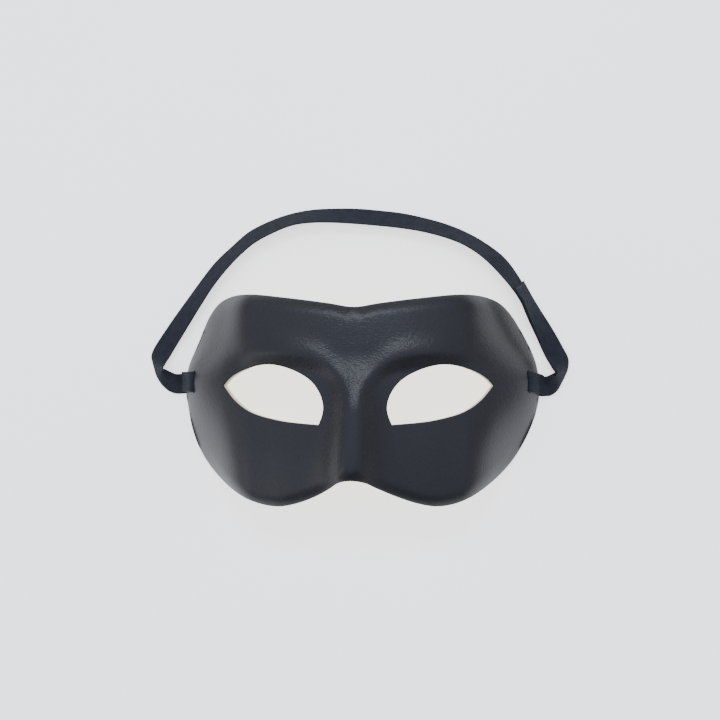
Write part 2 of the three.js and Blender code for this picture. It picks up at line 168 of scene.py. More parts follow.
# Strap route, left to right over the arch: x, y, z of its middle, the way its width points in
# plan and how far that width is tipped up, in degrees
LEFT_RUN = [
    (-88.2, 8.9, 0.9, 90, 0), (-91, 8.6, 0.98, 90, 2), (-93.3, 8.7, 1.7, 82, 10),
    (-96.2, 9.9, 2.2, 78, 16), (-98.9, 12.2, 3.5, 66, 34), (-100.2, 14.1, 4.5, 35, 50),
    (-101.3, 17.9, 4.1, -12, 44), (-101.7, 20.2, 2.9, -26, 26), (-99.7, 24.7, 2.1, -28, 15),
    (-96, 30.6, 2.3, -28, 17),
]
ARCH = [
    (-89.8, 40, 2.8, -31, 24), (-83.5, 49.2, 3.4, -34, 32), (-77.3, 58.1, 3.8, -37, 37),
    (-70.7, 66.6, 3.8, -42, 38), (-62.9, 74.4, 4.1, -48, 43), (-54.8, 81.3, 4.1, -57, 42),
    (-45.1, 86.4, 4.2, -66, 44), (-34.9, 90.1, 4.3, -75, 47), (-24.5, 91.8, 4.1, -84, 43),
    (-13.7, 92.1, 3.9, -90, 39), (-2.8, 91.8, 3.6, -94, 34), (8.1, 90.9, 3.5, -97, 34),
    (18.8, 89.7, 3.6, -100, 35), (29.5, 87.7, 3.9, -105, 40), (40.1, 84.9, 4.1, -110, 43),
    (50.4, 80.9, 4.3, -117, 46), (59.9, 75.3, 4.2, -126, 44), (68.2, 68.3, 3.9, -134, 38),
]
RIGHT_RUN = [
    (76.7, 57.4, 4.4, -142, 49), (80.6, 50.8, 4.7, -147, 54), (84.8, 42.9, 4.2, -148, 44),
    (90.2, 33.4, 3.1, -148, 28), (95.4, 24, 1.5, -149, 7), (97.8, 19.2, 2.5, -156, 19),
    (98.2, 15.4, 4.5, -166, 50), (97.4, 13.8, 4.9, -188, 59), (96.4, 12, 4.8, -223, 57),
    (94.7, 9.3, 3.6, -246, 32), (92, 7.6, 2, -258, 14), (88.2, 7.4, 1, -268, 2),
]
# Strap's loop round a temple's edge strip: outside the rim as x and z, in through the slot as x
# and depth below the skin's outer surface, and back out under the rim as x and z
LOOP_SLANT_LEFT = 0.02
LOOP_SLANT_RIGHT = 0.24
LOOP_OVER_LEFT = [(89.9, 2.4), (89.1, 2.9)]
LOOP_OVER_RIGHT = [(90.7, 3.1), (89.5, 3.4)]
LOOP_THROUGH = [
    (86.8, -1), (85, -1), (83.7, -1), (82.9, -0.85), (82.45, -0.2), (82.45, 1.65),
    (82.45, 3.6), (82.7, 4.8), (83.5, 5.25),
]
LOOP_UNDER = [(82.7, 1.35), (84.4, 0.92)]


def smooth(start, end, value):
    t = np.clip((value - start) / (end - start), 0, 1)
    return t * t * (3 - 2 * t)


def mix(a, b, share):
    return a + (b - a) * share


def bend_height(x, y):
    """The main bend without brow, nose or rolled rim."""
    across = np.abs(x)
    inside = np.maximum(BEND_LEAST, 1 - (across / BEND_HALF_WIDTH) ** 2)
    above = y - SLOT_Y
    drop = np.where(above > 0, TEMPLE_DROP_ABOVE, TEMPLE_DROP_BELOW)
    ease = np.where(above > 0, TEMPLE_EASE_ABOVE, TEMPLE_EASE_BELOW)
    turn_in = drop * above * above / (1 + (above / ease) ** 2)
    return (
        BEND_HEIGHT * np.sqrt(inside)
        - BEND_SUNK
        - smooth(TEMPLE_FROM, TEMPLE_FULL, across) * turn_in
        - FOREHEAD_LEAN * np.maximum(0, y - FOREHEAD_FROM) ** 2
        - CHEEK_LEAN * np.maximum(0, CHEEK_FROM - y) ** 2
    )


def brow_height(x, y):
    """Beside the nose: forehead, brow welt and the socket below it."""
    across = np.abs(x)
    outwards = np.hypot(x, BROW_MIDDLE_SOFT) - BROW_MIDDLE_SOFT
    above = y - (BROW_OUT_Y - BROW_DIP * np.exp(-outwards / BROW_REACH))
    high = BROW_HIGH * (1 - smooth(BROW_FADE_FROM, BROW_FADE_TO, across))
    deep = SOCKET_DEEP * (1 - smooth(SOCKET_FADE_FROM, SOCKET_FADE_TO, across))
    on_forehead = high * np.exp(-((above / BROW_SOFT) ** 2))
    in_socket = high - (high + deep) * smooth(0, SOCKET_EDGE, -above)
    return np.where(above > 0, on_forehead, in_socket)


def ridge_height(y):
    """Along the nose: up at the bridge, then nearly level to the tip."""
    at_bridge = BRIDGE_RISE * smooth(NOSE_ROOT_Y, NOSE_BRIDGE_Y, y)
    return at_bridge + TIP_RISE * np.clip((NOSE_BRIDGE_Y - y) / (NOSE_BRIDGE_Y - NOSE_TIP_Y), 0, 1)


def nose_share(x, y):
    """How much of a point belongs to the nose, 1 along its ridge and 0 out on the cheeks."""
    down = smooth(NOSE_ROOT_Y, NOSE_TIP_Y, y)
    half_width = mix(NOSE_TOP_HALF_WIDTH, NOSE_TIP_HALF_WIDTH, down)
    squareness = mix(NOSE_TOP_SQUARENESS, NOSE_TIP_SQUARENESS, down)
    return 1 / (1 + (np.abs(x) / half_width) ** squareness)


# Exponent of the spans of a centripetal spline, and the shortest span it takes
CENTRIPETAL = 0.5
SHORTEST_SPAN = 1e-4


def spline_at(points, places, closed=False):
    """Centripetal Catmull-Rom curve through points; places count the points, with fractions."""
    p = np.asarray(points, float)
    n = len(p)
    if closed:
        first = np.floor(places).astype(int)
        pick = lambda k: p[(first + k) % n]
    else:
        padded = np.vstack([2 * p[0] - p[1], p, 2 * p[-1] - p[-2]])
        first = np.clip(np.floor(places).astype(int), 0, n - 2)
        pick = lambda k: padded[first + k + 1]
    t = (places - first)[:, None]
    p0, p1, p2, p3 = (pick(k) for k in (-1, 0, 1, 2))
    d0, d1, d2 = (
        np.maximum(SHORTEST_SPAN, np.linalg.norm(b - a, axis=1) ** CENTRIPETAL)[:, None]
        for a, b in ((p0, p1), (p1, p2), (p2, p3))
    )
    out = d1 * ((p1 - p0) / d0 - (p2 - p0) / (d0 + d1) + (p2 - p1) / d1)
    back = d1 * ((p2 - p1) / d1 - (p3 - p1) / (d1 + d2) + (p3 - p2) / d2)
    square = -3 * p1 + 3 * p2 - 2 * out - back
    cube = 2 * p1 - 2 * p2 + out + back
    return p1 + t * (out + t * (square + t * cube))


def evenly(fine, shares):
    """Points at the given shares of a finely drawn line's length."""
    steps = np.linalg.norm(np.diff(fine, axis=0), axis=1)
    along = np.concatenate([[0], np.cumsum(steps)]) / steps.sum()
    return np.stack([np.interp(shares, along, fine[:, k]) for k in range(fine.shape[1])], 1)


RIM = np.array(RIM_HALF + [(-x, y) for x, y in reversed(RIM_HALF[1:-1])], float)
RIM_LINE = spline_at(RIM, np.arange(RIM_PIECES) * len(RIM) / RIM_PIECES, closed=True)


def rim_distance(x, y):
    """Distance from the rim, positive inside it."""
    a = RIM_LINE
    d = np.roll(RIM_LINE, -1, axis=0) - a
    lengths = (d**2).sum(1)
    result = np.empty(x.shape)
    flat_x, flat_y, flat_out = x.ravel(), y.ravel(), result.ravel()
    for i in range(0, flat_x.size, DISTANCES_AT_ONCE):
        some = slice(i, i + DISTANCES_AT_ONCE)
        px = flat_x[some, None] - a[:, 0]
        py = flat_y[some, None] - a[:, 1]
        t = np.clip((px * d[:, 0] + py * d[:, 1]) / lengths, 0, 1)
        ox = px - t * d[:, 0]
        oy = py - t * d[:, 1]
        squared = ox * ox + oy * oy
        nearest = squared.argmin(1)
        rows = np.arange(len(nearest))
        side = np.where(d[nearest, 0] * oy[rows, nearest] > d[nearest, 1] * ox[rows, nearest], -1, 1)
        flat_out[some] = side * np.sqrt(squared[rows, nearest])
    return flat_out.reshape(x.shape)


def roll_drop(x, y):
    inner = 1 - np.minimum(ROLL_WIDTH, rim_distance(x, y)) / ROLL_WIDTH
    return ROLL_DEPTH * inner * inner * (1 - smooth(ROLL_FADE_FROM, ROLL_FADE_TO, np.abs(x)))


def face_height(x, y):
    relief = mix(brow_height(x, y), ridge_height(y), nose_share(x, y))
    return bend_height(x, y) + relief - roll_drop(x, y)


def face_normal(x, y):
    h = SLOPE_STEP
    slope_x = (face_height(x + h, y) - face_height(x - h, y)) / (2 * h)
    slope_y = (face_height(x, y + h) - face_height(x, y - h)) / (2 * h)
    normal = np.stack([-slope_x, -slope_y, np.ones_like(slope_x)], -1)
    return normal / np.linalg.norm(normal, axis=-1, keepdims=True)


def floor_at(y):
    """The lowest that a temple's rim reaches, higher beside the slot, where the strap runs under."""
    return RELIEF_HIGH * (1 - smooth(RELIEF_FLAT, RELIEF_END, np.abs(y - SLOT_Y)))


def face_point(x, y, depth, lift=0.0):
    """Points of the face at the given depths below the skin's outer surface."""
    point = np.stack([x, y, face_height(x, y)], -1) - depth[..., None] * face_normal(x, y)
    lowest = np.where(np.abs(x) > TEMPLE_FROM, floor_at(y) + lift, -np.inf)
    point[..., 2] = np.maximum(point[..., 2], lowest)
    leaning = smooth(NOSE_LEAN_FROM_Y, NOSE_LEAN_Y, y) * np.exp(-((x / NOSE_LEAN_REACH) ** 2))
    point[..., 0] += NOSE_LEAN * leaning
    on_cheek = smooth(SWAY_BELOW_FROM_X, SWAY_BELOW_X, np.abs(x))
    point[..., 0] += SWAY_BELOW * on_cheek * smooth(SWAY_BELOW_FROM_Y, SWAY_BELOW_Y, y)
    point[..., 0] += SWAY_ABOVE * smooth(SWAY_ABOVE_FROM_Y, SWAY_ABOVE_Y, y)
    return point


def half_plan():
    """One half of the face in plan: lines from the eye hole out to the rim or the midline."""
    fine = np.linspace(0, 1, OUTLINE_STEPS)
    upper = spline_at(UPPER_LID, fine * (len(UPPER_LID) - 1))
    lower = spline_at(LOWER_LID, fine * (len(LOWER_LID) - 1))
    to_brow = np.arange(STEPS_UPPER) / STEPS_UPPER
    to_nose = np.arange(STEPS_NOSE) / STEPS_NOSE
    to_cheek = np.arange(STEPS_LOWER) / STEPS_LOWER
    eye = np.vstack([
        evenly(upper, LID_TO_BROW * to_brow),
        evenly(upper, mix(LID_TO_BROW, 1, to_nose)),
        evenly(lower, to_cheek),
    ])
    last = len(RIM_HALF) - 1
    brow_side = evenly(spline_at(RIM, mix(TEMPLE_POINT, 0, fine), closed=True), to_brow)
    cheek_side = evenly(spline_at(RIM, mix(last, TEMPLE_POINT, fine), closed=True), to_cheek)
    middle_y = mix(RIM_HALF[0][1], RIM_HALF[last][1], to_nose)
    midline = np.stack([np.zeros(STEPS_NOSE), middle_y], 1)
    outer = np.vstack([brow_side, midline, cheek_side])
    share = np.linspace(0, 1, STEPS_OUT + 1)[None, :, None]
    grid = mix(eye[:, None], outer[:, None], share)
    # Lines near the eye hole keep its corners, those further out are evened
    evened = RELAX_SHARE * smooth(0, RELAX_FULL, share) ** 2
    for _ in range(RELAX_PASSES):
        along = (np.roll(grid, 1, 0) + np.roll(grid, -1, 0)) / 2
        grid[:, 1:-1] = mix(grid, along, evened)[:, 1:-1]
    return grid


PLAN = half_plan()
AROUND = len(PLAN)
MIDLINE = range(STEPS_UPPER, STEPS_UPPER + STEPS_NOSE + 1)


def edge_round(depth_out, depth_in, radius):
    """Rounded wall from the outer to the inner surface, as insets in plan and depths."""
    turn = np.linspace(0, math.pi / 2, STEPS_ROUND + 1)
    inset = radius * (1 - np.sin(turn))
    depth = depth_out + radius * (1 - np.cos(turn))
    return (
        np.concatenate([inset, inset[::-1]]),
        np.concatenate([depth, (depth_out + depth_in) - depth[::-1]]),
    )


def layer_columns(depth_out, depth_in, radius):
    """Points of one half's closed section at every line: out, round the rim, back, round the eye."""
    inset, depth = edge_round(depth_out, depth_in, radius)
    to_inside = PLAN[:, -3] - PLAN[:, -1]
    corners = [MIDLINE[0], MIDLINE[-1]]
    to_inside[corners] = [(0, -1), (0, 1)]
    to_inside /= np.linalg.norm(to_inside, axis=1, keepdims=True)
    from_eye = PLAN[:, 2] - PLAN[:, 0]
    from_eye /= np.linalg.norm(from_eye, axis=1, keepdims=True)
    rim = PLAN[:, -1][:, None] + to_inside[:, None] * inset[None, :, None]
    inner_midline = list(MIDLINE)[1:-1]
    rim[inner_midline] = PLAN[inner_midline, -1][:, None]
    eye = PLAN[:, 0][:, None] + from_eye[:, None] * inset[None, ::-1, None]
    middle = PLAN[:, 1:-1]
    plan = np.concatenate([middle, rim, middle[:, ::-1], eye], axis=1)
    n = middle.shape[1]
    depths = np.concatenate([np.full(n, depth_out), depth, np.full(n, depth_in), depth[::-1]])
    return plan, np.broadcast_to(depths, plan.shape[:2]), n, len(inset)


def layer_mesh(depth_out, depth_in, radius, lift):
    """Vertices in millimetres and faces of one closed layer of the face."""
    plan, depths, n, k = layer_columns(depth_out, depth_in, radius)
    columns = plan.shape[1]
    half_size = AROUND * columns
    points = [face_point(side * plan[..., 0], plan[..., 1], depths, lift) for side in (1, -1)]
    faces = []
    line = np.arange(AROUND)
    for half in (0, 1):
        start = half * half_size
        for j in range(columns):
            used = line
            # No wall across the midline, where the two halves join
            if n <= j < n + k - 1:
                used = np.array([s for s in line if not (s in MIDLINE and s + 1 in MIDLINE)])
            a = start + used * columns + j
            b = start + ((used + 1) % AROUND) * columns + j
            step = (j + 1) % columns - j
            quad = np.stack([a, a + step, b + step, b], 1)
            faces.append(quad if half == 0 else quad[:, ::-1])
    # The second half takes its points on the midline from the first, and unused ones go
    shared = np.arange(2 * half_size)
    at_midline = (np.array(MIDLINE)[:, None] * columns + np.arange(n, n + k)).ravel()
    shared[half_size + at_midline] = at_midline
    used, renumbered = np.unique(shared[np.concatenate(faces)], return_inverse=True)
    vertices = np.concatenate([p.reshape(-1, 3) for p in points])
    return vertices[used], renumbered.reshape(-1, 4)


def add_object(name, data):
    obj = bpy.data.objects.new(name, data)
    bpy.context.scene.collection.objects.link(obj)
    return obj


def new_mesh(name, points_mm, faces):
    mesh = bpy.data.meshes.new(name)
    mesh.from_pydata((points_mm * MM).tolist(), [], [list(map(int, f)) for f in faces])
    mesh.validate()
    return mesh


def shade(mesh):
    mesh.shade_smooth()
    mesh.set_sharp_from_angle(angle=math.radians(SHARP_ANGLE))


def add_piece(name, points_mm, faces, material):
    mesh = new_mesh(name, points_mm, faces)
    mesh.materials.append(material)
    shade(mesh)
    return add_object(name, mesh)


def tube_faces(rings, n):
    """Faces of a closed tube through rings of n points each."""
    k = np.arange(n)
    a = np.arange(rings - 1)[:, None] * n + k
    b = np.arange(rings - 1)[:, None] * n + (k + 1) % n
    sides = np.stack([a, b, b + n, a + n], -1).reshape(-1, 4).tolist()
    return sides + [list(range(n))[::-1], list(range((rings - 1) * n, rings * n))]


# The part's own frame has its origin under the middle of the mask, the formulas a little lower
skin_points, skin_faces = layer_mesh(0, SKIN_THICKNESS, SKIN_EDGE_ROUND, SKIN_OFF_TABLE)
box_low, box_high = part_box("leather_cover")
box_middle_y = (box_low.y + box_high.y) / 2 / MM
SHIFT = np.array([0, box_middle_y - (skin_points[:, 1].min() + skin_points[:, 1].max()) / 2, 0])


# Camera, looking straight down from the wearer's left of the middle, with the photo's framing
CAMERA_AT = np.array([46, 20.5, 500.0])
PICTURE_MIDDLE_X = -1.6
PIXELS_PER_MM = 2.0
IMAGE_SIZE = 720
SENSOR = 36
VIEW_END_M = 20


def add_camera():
    data = bpy.data.cameras.new("camera")
    shown_mm = IMAGE_SIZE / PIXELS_PER_MM
    data.sensor_width = SENSOR
    data.lens = SENSOR * CAMERA_AT[2] / shown_mm
    data.shift_x = (PICTURE_MIDDLE_X - CAMERA_AT[0]) / shown_mm
    data.clip_end = VIEW_END_M
    camera = add_object("camera", data)
    camera.location = Vector((CAMERA_AT + SHIFT) * MM)
    bpy.context.scene.camera = camera


def put(tree, socket, value):
    """Links another node's output to a socket, or sets a number, colour or vector on it."""
    if isinstance(value, bpy.types.NodeSocket):
        tree.links.new(value, socket)
    else:
        socket.default_value = value


def add_node(tree, kind, **values):
    """A shader node; a value goes on the input of its name, or else is a setting of the node."""
    node = tree.nodes.new(kind)
    for name, value in values.items():
        socket = name.replace("_", " ")
        if socket in node.inputs:
            put(tree, node.inputs[socket], value)
        else:
            setattr(node, name, value)
    return node


def maths(tree, operation, first, second=0.0):
    node = add_node(tree, "ShaderNodeMath", operation=operation)
    put(tree, node.inputs[0], first)
    put(tree, node.inputs[1], second)
    return node.outputs["Value"]


def vector_maths(tree, operation, first, second):
    node = add_node(tree, "ShaderNodeVectorMath", operation=operation)
    put(tree, node.inputs[0], first)
    put(tree, node.inputs[1], second)
    return node.outputs["Vector"]


def object_place(tree):
    return add_node(tree, "ShaderNodeTexCoord").outputs["Object"]


def noise(tree, place, scale, detail=2.0, output="Fac"):
    node = add_node(tree, "ShaderNodeTexNoise", Vector=place, Scale=scale, Detail=detail)
    return node.outputs[output]


def cells(tree, place, pitch_mm, smoothness, randomness=1.0):
    """Distance from the middles of round cells of a given pitch."""
    node = add_node(
        tree, "ShaderNodeTexVoronoi", feature="SMOOTH_F1", Vector=place,
        Scale=1 / (pitch_mm * MM), Smoothness=smoothness, Randomness=randomness,
    )
    return node.outputs["Distance"]


def value_range(tree, value, span, limits):
    """Spreads a span of a value over the given limits, which it keeps to outside the span."""
    node = add_node(
        tree, "ShaderNodeMapRange", Value=value,
        From_Min=span[0], From_Max=span[1], To_Min=limits[0], To_Max=limits[1],
    )
    return node.outputs["Result"]


def colour_ramp(tree, value, stops):
    """Colours at places of a value between 0 and 1."""
    ramp = add_node(tree, "ShaderNodeValToRGB", Fac=value)
    elements = ramp.color_ramp.elements
    while len(elements) < len(stops):
        elements.new(0.5)
    for element, (place, colour) in zip(elements, stops):
        element.position = place
        element.color = (*colour, 1)
    return ramp.outputs["Color"]


def new_material(name, **shader):
    material = bpy.data.materials.new(name)
    material.use_nodes = True
    tree = material.node_tree
    principled = next(n for n in tree.nodes if n.type == "BSDF_PRINCIPLED")
    for socket, value in shader.items():
        principled.inputs[socket.replace("_", " ")].default_value = value
    return material, tree, principled


def add_bump(tree, principled, height, strength, distance_mm):
    bump = add_node(
        tree, "ShaderNodeBump", Height=height, Strength=strength, Distance=distance_mm * MM,
    )
    put(tree, principled.inputs["Normal"], bump.outputs["Normal"])


# The values between which most of a noise lies
NOISE_SPAN = (0.3, 0.7)

# Leatherette: pebbles a little under a millimetre across, slightly drawn out, and finer grain.
# The depths are shares of the whole grain's depth, the powers round the cells off
GRAIN_DEEP_MM = 0.1
GRAIN_STRENGTH = 0.9
GRAIN_WANDER_MM = 1.2
GRAIN_WANDER_SCALE = 260.0
PEBBLE_SIZE_MM = 0.85
PEBBLE_STRETCH = 0.72
PEBBLE_TURN = math.radians(35)
PEBBLE_SMOOTHNESS = 0.35
PEBBLE_POWER = 1.6
PEBBLE_DEPTH = 0.45
FINE_SCALE = 4200.0
FINE_DEPTH = 0.18
# Over the brow and bridge the grain is drawn out into strokes, in arcs about a point of the nose.
# They grow over the first span in height above that point and fade over the second in distance.
# The point, the radius and both spans are in metres
ARC_CENTRE = (-0.002, -0.019, 0)
ARC_STRETCH = 0.4
ARC_RADIUS = 0.045
STROKE_PITCH_MM = 0.75
STROKE_SMOOTHNESS = 0.25
STROKE_RANDOMNESS = 0.75
STROKE_POWER = 1.4
STROKE_DEPTH = 1.0
STROKE_GROWS = (0.008, 0.02)
STROKE_FADES = (0.045, 0.08)
STROKE_LEFT = 0.25
# Painted shade, darker in the creases between the pebbles, and broad faint patches of tone and gloss
CREASE_SPAN = (0.25, 0.75)
PAINTED_CREASE_SHADE = (1.0, 0.72)
LEATHER_PATCH_SCALE = 28.0
LEATHER_TONES = [(0.35, (0.0072, 0.008, 0.0105)), (0.7, (0.0098, 0.0108, 0.0138))]
LEATHER_ROUGHNESS = (0.33, 0.39)


def stroke_height(tree, place):
    """Strokes along arcs: cells in polar coordinates, narrow outwards and long round the arc."""
    from_centre = vector_maths(tree, "SUBTRACT", place, ARC_CENTRE)
    parts = add_node(tree, "ShaderNodeSeparateXYZ", Vector=from_centre)
    x, y = parts.outputs["X"], parts.outputs["Y"]
    flat = add_node(tree, "ShaderNodeCombineXYZ", X=x, Y=y).outputs["Vector"]
    radius = add_node(tree, "ShaderNodeVectorMath", operation="LENGTH", Vector=flat).outputs["Value"]
    angle = maths(tree, "ARCTAN2", x, y)
    along_arc = maths(tree, "MULTIPLY", angle, ARC_RADIUS * ARC_STRETCH)
    arc_place = add_node(tree, "ShaderNodeCombineXYZ", X=radius, Y=along_arc).outputs["Vector"]
    strokes = cells(tree, arc_place, STROKE_PITCH_MM, STROKE_SMOOTHNESS, STROKE_RANDOMNESS)
    rounded = maths(tree, "POWER", strokes, STROKE_POWER)
    deep = maths(tree, "MULTIPLY", rounded, STROKE_DEPTH)
    upwards = value_range(tree, y, STROKE_GROWS, (0.0, 1.0))
    outwards = value_range(tree, radius, STROKE_FADES, (1.0, STROKE_LEFT))
    return maths(tree, "MULTIPLY", deep, maths(tree, "MULTIPLY", upwards, outwards))


def leatherette():
    roughness = sum(LEATHER_ROUGHNESS) / 2
    material, tree, principled = new_material("black_leatherette", Roughness=roughness, IOR=1.4)
    place = object_place(tree)
    wander = noise(tree, place, GRAIN_WANDER_SCALE, output="Color")
    offset = add_node(
        tree, "ShaderNodeVectorMath", operation="SCALE", Vector=wander, Scale=GRAIN_WANDER_MM * MM,
    )
    moved = vector_maths(tree, "ADD", place, offset.outputs["Vector"])
    stretched = add_node(
        tree, "ShaderNodeMapping", Vector=moved,
        Rotation=(0, 0, PEBBLE_TURN), Scale=(1.0, PEBBLE_STRETCH, 1.0),
    )
    pebbles = cells(tree, stretched.outputs["Vector"], PEBBLE_SIZE_MM, PEBBLE_SMOOTHNESS)
    pebble_height = maths(tree, "MULTIPLY", maths(tree, "POWER", pebbles, PEBBLE_POWER), PEBBLE_DEPTH)
    sunk = maths(tree, "ADD", pebble_height, stroke_height(tree, moved))
    fine = noise(tree, place, FINE_SCALE, detail=3.0)
    height = maths(tree, "SUBTRACT", maths(tree, "MULTIPLY", fine, FINE_DEPTH), sunk)
    add_bump(tree, principled, height, GRAIN_STRENGTH, GRAIN_DEEP_MM)
    patches = noise(tree, place, LEATHER_PATCH_SCALE, detail=4.0)
    # Base colour: the patches' tone times painted shade in the creases between the pebbles
    tone_and_painted_shade = add_node(
        tree, "ShaderNodeMix", data_type="RGBA", blend_type="MULTIPLY", Factor=1.0,
        A=colour_ramp(tree, patches, LEATHER_TONES),
        B=value_range(tree, pebbles, CREASE_SPAN, PAINTED_CREASE_SHADE),
    )
    put(tree, principled.inputs["Base Color"], tone_and_painted_shade.outputs["Result"])
    gloss = value_range(tree, patches, NOISE_SPAN, LEATHER_ROUGHNESS)
    put(tree, principled.inputs["Roughness"], gloss)
    return material


# Cream moulding, matt and slightly uneven
CREAM_TONES = [(0.3, (0.72, 0.62, 0.41)), (0.72, (0.83, 0.75, 0.55))]
CREAM_PATCH_SCALE = 55.0
CREAM_ROUGHNESS = (0.5, 0.64)
CREAM_GRAIN_SCALE = 900.0
CREAM_GRAIN_DEEP_MM = 0.12


def cream_shell():
    material, tree, principled = new_material("cream_moulding", Roughness=0.55, IOR=1.46)
    place = object_place(tree)
    patches = noise(tree, place, CREAM_PATCH_SCALE, detail=5.0)
    put(tree, principled.inputs["Base Color"], colour_ramp(tree, patches, CREAM_TONES))
    gloss = value_range(tree, patches, NOISE_SPAN, CREAM_ROUGHNESS)
    put(tree, principled.inputs["Roughness"], gloss)
    grain = noise(tree, place, CREAM_GRAIN_SCALE, detail=4.0)
    add_bump(tree, principled, grain, strength=0.5, distance_mm=CREAM_GRAIN_DEEP_MM)
    return material


# Weave of the elastic: ribs along it, and weft threads across that lag from rib to rib
WEFT_PITCH_MM = 0.55
WEFT_LAG = math.pi / 2
RIB_SHARE = 0.5
WEAVE_DEEP_MM = 0.05
WEAVE_STRENGTH = 0.55
ELASTIC_PATCH_SCALE = 300.0
ELASTIC_TONES = [(0.35, (0.0155, 0.0175, 0.0235)), (0.7, (0.0215, 0.0242, 0.031))]


def woven_elastic():
    material, tree, principled = new_material(
        "black_elastic", Roughness=0.78, IOR=1.22, Sheen_Weight=0.05, Sheen_Roughness=0.45,
    )
    across = add_node(tree, "ShaderNodeAttribute", attribute_name="across_mm").outputs["Fac"]
    along = add_node(tree, "ShaderNodeAttribute", attribute_name="along_mm").outputs["Fac"]
    rib_pitch = STRAP_WIDTH / STRAP_RIBS
    rib = maths(tree, "SINE", maths(tree, "MULTIPLY", across, 2 * math.pi / rib_pitch))
    lag = maths(tree, "MULTIPLY", rib, WEFT_LAG)
    turn = maths(tree, "MULTIPLY", along, 2 * math.pi / WEFT_PITCH_MM)
    weft = maths(tree, "SINE", maths(tree, "ADD", turn, lag))
    height = maths(tree, "ADD", maths(tree, "MULTIPLY", rib, RIB_SHARE), weft)
    add_bump(tree, principled, height, WEAVE_STRENGTH, WEAVE_DEEP_MM)
    patches = noise(tree, object_place(tree), ELASTIC_PATCH_SCALE, detail=6.0)
    put(tree, principled.inputs["Base Color"], colour_ramp(tree, patches, ELASTIC_TONES))
    return material


# Thread of the seams, twisted
THREAD_TWIST_SCALE = 5000.0
THREAD_TWIST_DEEP_MM = 0.05
THREAD_TONES = [(0.3, (0.008, 0.009, 0.012)), (0.7, (0.018, 0.02, 0.025))]


def thread_material():
    material, tree, principled = new_material("black_thread", Roughness=0.6, Sheen_Weight=0.3)
    twist = noise(tree, object_place(tree), THREAD_TWIST_SCALE)
    put(tree, principled.inputs["Base Color"], colour_ramp(tree, twist, THREAD_TONES))
    add_bump(tree, principled, twist, strength=0.4, distance_mm=THREAD_TWIST_DEEP_MM)
    return material


def edge_loop(side):
    """Strap stations round a temple's edge strip: over the outside, in through the slot and out."""
    heading, slant, over = 90, LOOP_SLANT_LEFT, LOOP_OVER_LEFT
    if side > 0:
        heading, slant, over = -270, LOOP_SLANT_RIGHT, LOOP_OVER_RIGHT

    def outside(place):
        x, z = place
        return (side * x, SLOT_Y - slant * (x - SLOT_X), z, heading, 0)

    def through(place):
        x, depth = place
        at = np.array([side * x]), np.array([SLOT_Y])
        p = np.array([side * x, SLOT_Y, face_height(*at)[0]]) - depth * face_normal(*at)[0]
        return (p[0], SLOT_Y - slant * (x - SLOT_X), p[2], heading, 0)

    return [*map(outside, over), *map(through, LOOP_THROUGH), *map(outside, LOOP_UNDER)]


def station_frames(stations):
    """Middles and width directions of strap stations."""
    s = np.array(stations, float)
    heading, tip = np.radians(s[:, 3]), np.radians(s[:, 4])
    across = np.stack(
        [np.cos(heading) * np.cos(tip), np.sin(heading) * np.cos(tip), np.sin(tip)], 1
    )
    return s[:, :3], across


def strap_faces(middles, across):
    """Directions square to the elastic's flat side, along its run."""
    run = np.gradient(middles, axis=0)
    face = np.cross(across, run)
    return face / np.linalg.norm(face, axis=1, keepdims=True)


def strap_frames():
    """Coarse middles and width directions of the whole strap, the sewn-back ply at its end."""
    single = edge_loop(-1) + LEFT_RUN + ARCH + RIGHT_RUN
    middles, across = station_frames(single)
    face = strap_faces(middles, across)
    doubled = slice(len(single) - len(RIGHT_RUN), len(single) - 1)
    back = (middles + face * PLY_PITCH)[doubled][::-1]
    loop_middles, loop_across = station_frames(edge_loop(1)[::-1][:-1])
    return (
        np.vstack([middles, loop_middles, back]),
        np.vstack([across, loop_across, across[doubled][::-1]]),
    )


def fine_strap_frames():
    middles, across = strap_frames()
    spans = np.linalg.norm(np.diff(middles, axis=0), axis=1)
    places = [i + np.arange(n) / n for i, n in enumerate(np.ceil(spans / STRAP_STEP).astype(int))]
    places = np.concatenate([*places, [len(middles) - 1]])
    fine = spline_at(middles, places)
    wide = spline_at(across, places)
    wide /= np.linalg.norm(wide, axis=1, keepdims=True)
    return fine, wide, strap_faces(fine, wide)


def strap_section():
    """Outline of the elastic across its run: ribbed faces and rounded selvedges."""
    half_wide, half_thick = STRAP_WIDTH / 2, STRAP_THICK / 2
    pitch = STRAP_WIDTH / STRAP_RIBS
    ends = half_wide - half_thick
    flat = np.linspace(ends, -ends, STRAP_RIBS * STEPS_PER_RIB + 1)
    rib = half_thick - RIB_HALF_DEEP + RIB_HALF_DEEP * np.cos(2 * math.pi * flat / pitch)
    turn = np.linspace(0, math.pi, SELVEDGE_STEPS + 1)[1:-1]
    end = np.stack([-ends - half_thick * np.sin(turn), half_thick * np.cos(turn)], 1)
    top = np.stack([flat, rib], 1)
    return np.vstack([top, end, -top, -end])


def add_strap(material):
    middles, across, face = fine_strap_frames()
    middles = middles + SHIFT
    section = strap_section()
    points = (
        middles[:, None]
        + section[None, :, :1] * across[:, None]
        + section[None, :, 1:] * face[:, None]
    )
    rings = len(middles)
    faces = tube_faces(rings, len(section))
    obj = add_piece("head_strap", points.reshape(-1, 3), faces, material)
    along = np.concatenate([[0], np.cumsum(np.linalg.norm(np.diff(middles, axis=0), axis=1))])
    measures = {"across_mm": np.tile(section[:, 0], rings), "along_mm": np.repeat(along, len(section))}
    for name, values in measures.items():
        layer = obj.data.attributes.new(name, "FLOAT", "POINT")
        layer.data.foreach_set("value", values.astype(np.float32))
    return obj, middles, across, face, along


